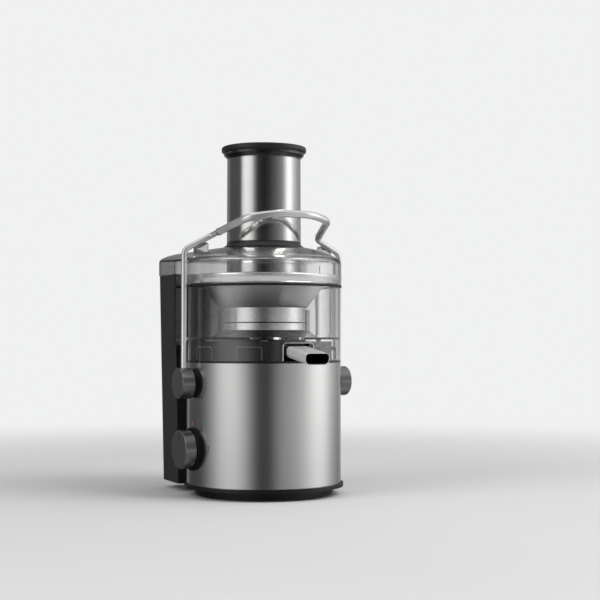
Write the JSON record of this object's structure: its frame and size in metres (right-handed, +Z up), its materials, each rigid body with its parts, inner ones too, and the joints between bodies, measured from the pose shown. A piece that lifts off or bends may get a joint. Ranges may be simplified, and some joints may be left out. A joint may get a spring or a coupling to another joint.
{
  "type": "centrifugal juicer",
  "caption": "Upright centrifugal juicer: steel motor base, clear bowl and lid with a wide feed tube, swing-over locking handle, front spout and rear pulp container.",
  "frame": {"origin": "on the motor's axis at the level of the surface that the feet stand on", "axes": "+Z up along the motor's axis, -Y towards the spout, +X to the right of someone who faces the spout"},
  "size_m": [0.23, 0.282, 0.427],
  "materials": {
    "brushed_steel": "fine brushed stainless steel",
    "polished_steel": "polished stainless steel",
    "black_plastic": "satin black plastic",
    "grey_plastic": "fine textured dark grey plastic",
    "clear_plastic": "clear, slightly smoky plastic",
    "black_rubber": "black rubber",
    "cast_aluminium": "die-cast aluminium",
    "laminations": "varnished steel laminations",
    "copper": "enamelled copper",
    "carbon": "pressed carbon",
    "bearing_steel": "ground bearing steel",
    "circuit_board": "green circuit board",
    "sieve_steel": "perforated stainless steel"
  },
  "bodies": {
    "base": {"rubber_feet": "black_rubber", "bottom_cover": "black_plastic", "bottom_screws": "bearing_steel", "base_skirt": "black_plastic", "steel_wrap": "brushed_steel", "rear_panel": "black_plastic", "deck": "black_plastic", "shaft_seal": "black_rubber", "lower_bracket": "cast_aluminium", "upper_bracket": "cast_aluminium", "lower_bearing": "bearing_steel", "upper_bearing": "bearing_steel", "motor_mount_bushes": "black_rubber", "motor_screws": "bearing_steel", "stator_core": "laminations", "stator_coils": "copper", "brush_holders": "copper", "carbon_brushes": "carbon", "pivot_bush_left": "black_plastic", "pivot_bush_right": "black_plastic", "interlock_switch": "grey_plastic", "dial_bezel": "black_plastic", "rotary_switch": "grey_plastic", "control_board": "circuit_board", "cord_gland": "black_rubber", "hub_guard": "clear_plastic", "bowl": "clear_plastic", "filter_bowl": "clear_plastic", "bowl_gasket": "black_rubber", "spout": "polished_steel", "lid": "clear_plastic", "latch_pads": "clear_plastic"},
    "handle": {"handle_leg_left": "polished_steel", "handle_leg_right": "polished_steel", "handle_grip": "polished_steel", "pivot_knob_left": "brushed_steel", "pivot_knob_right": "brushed_steel", "pivot_pin_left": "bearing_steel", "pivot_pin_right": "bearing_steel"},
    "dial": {"speed_dial": "brushed_steel", "dial_shaft": "bearing_steel"},
    "basket_drive": {"rotor_shaft": "bearing_steel", "armature_core": "laminations", "armature_windings": "copper", "commutator": "copper", "cooling_fan": "black_plastic", "drive_coupling": "black_plastic", "basket_hub": "polished_steel", "grater_disc": "sieve_steel", "sieve_mesh": "sieve_steel", "sieve_rim": "polished_steel"},
    "pusher": {"pusher_cap": "black_plastic", "pusher_sleeve": "polished_steel"},
    "container": {"pulp_container": "grey_plastic"},
    "interlock": {"interlock_plunger": "grey_plastic"}
  },
  "joints": [
    {"name": "handle_swing", "type": "hinge", "parent": "base", "child": "handle", "pos_m": [0, 0, 0.137], "axis": [1, 0, 0], "range_deg": [0, 100]},
    {"name": "dial_turn", "type": "hinge", "parent": "base", "child": "dial", "pos_m": [-0.1, 0, 0.058], "axis": [1, 0, 0], "range_deg": [-48, 96]},
    {"name": "basket_spin", "type": "hinge", "parent": "base", "child": "basket_drive", "pos_m": [0, 0, 0.1], "axis": [0, 0, 1], "continuous": true},
    {"name": "pusher_lift", "type": "slide", "parent": "base", "child": "pusher", "axis": [0, 0, 1], "range_m": [0, 0.15]},
    {"name": "container_slide", "type": "slide", "parent": "base", "child": "container", "axis": [0, 1, 0], "range_m": [0, 0.15]},
    {"name": "interlock_travel", "type": "slide", "parent": "base", "child": "interlock", "axis": [0, 0, 1], "range_m": [0, 0.0025]}
  ],
  "couplings": [
    {"joint": "interlock_travel", "follows": "handle_swing", "m_per_rad": 0.001375}
  ]
}
